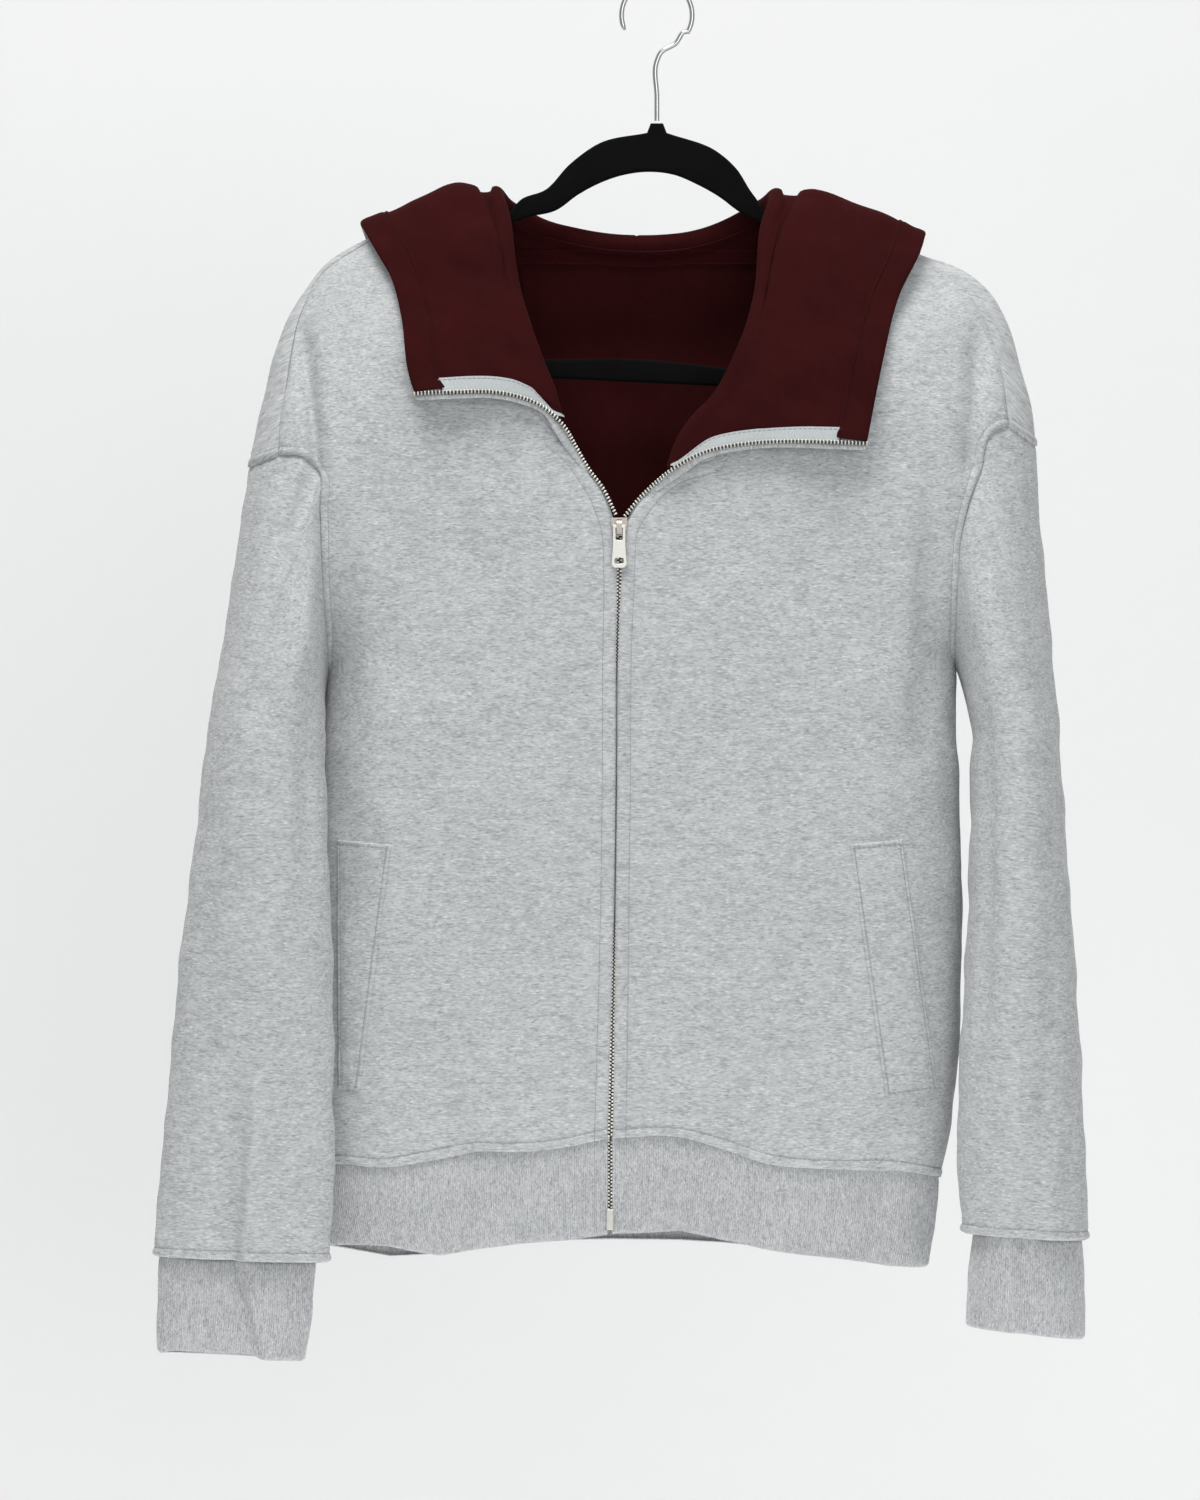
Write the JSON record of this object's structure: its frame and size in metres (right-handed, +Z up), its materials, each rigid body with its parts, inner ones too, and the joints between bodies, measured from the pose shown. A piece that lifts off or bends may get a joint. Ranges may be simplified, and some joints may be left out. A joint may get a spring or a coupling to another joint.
{
  "type": "zip-up hoodie on a hanger",
  "caption": "Zip-up hoodie in pale heather fleece with a burgundy hood lining, open at the neck, hanging on a slim flocked hanger with a wire hook.",
  "frame": {"origin": "highest point inside the hanger's hook, where a rail carries it, in the hanger's middle plane", "axes": "+Z up, +X towards the left sleeve (the viewer's right), and the front faces -Y"},
  "size_m": [0.5667, 0.2059, 0.8425],
  "materials": {
    "heather_fleece": "soft marl jersey face, matt",
    "heather_rib": "knitted one by one rib, matt",
    "burgundy_jersey": "single jersey, matt",
    "grey_twill": "woven tape, matt",
    "burgundy_twill": "woven twill tape, matt",
    "nickel": "polished nickel",
    "black_flock": "velvet flock on a plastic moulding",
    "chrome_wire": "bright wire"
  },
  "bodies": {
    "hoodie_on_hanger": {"front_right": "heather_fleece", "front_left": "heather_fleece", "back": "heather_fleece", "back_lining": "burgundy_jersey", "neck_tape": "burgundy_twill", "sleeve_right": "heather_fleece", "sleeve_left": "heather_fleece", "cuff_right": "heather_rib", "cuff_left": "heather_rib", "waistband": "heather_rib", "hood_shell_right": "heather_fleece", "hood_shell_left": "heather_fleece", "hood_lining_right": "burgundy_jersey", "hood_lining_left": "burgundy_jersey", "hood_band_right": "burgundy_jersey", "hood_band_left": "burgundy_jersey", "zip_facing_right": "grey_twill", "zip_facing_left": "grey_twill", "zip_tape_right": "grey_twill", "zip_tape_left": "grey_twill", "zip_slider": "nickel", "zip_stop": "nickel", "pocket_welt_right": "heather_fleece", "pocket_welt_left": "heather_fleece", "hanger": "black_flock", "hanger_hook": "chrome_wire"},
    "pull_tab": {"pull_tab": "nickel"}
  },
  "joints": [
    {"name": "pull_tab_swing", "type": "hinge", "parent": "hoodie_on_hanger", "child": "pull_tab", "pos_m": [-0.0232, -0.04925, -0.3342], "axis": [-1, 0, 0], "range_deg": [0, 165]}
  ]
}
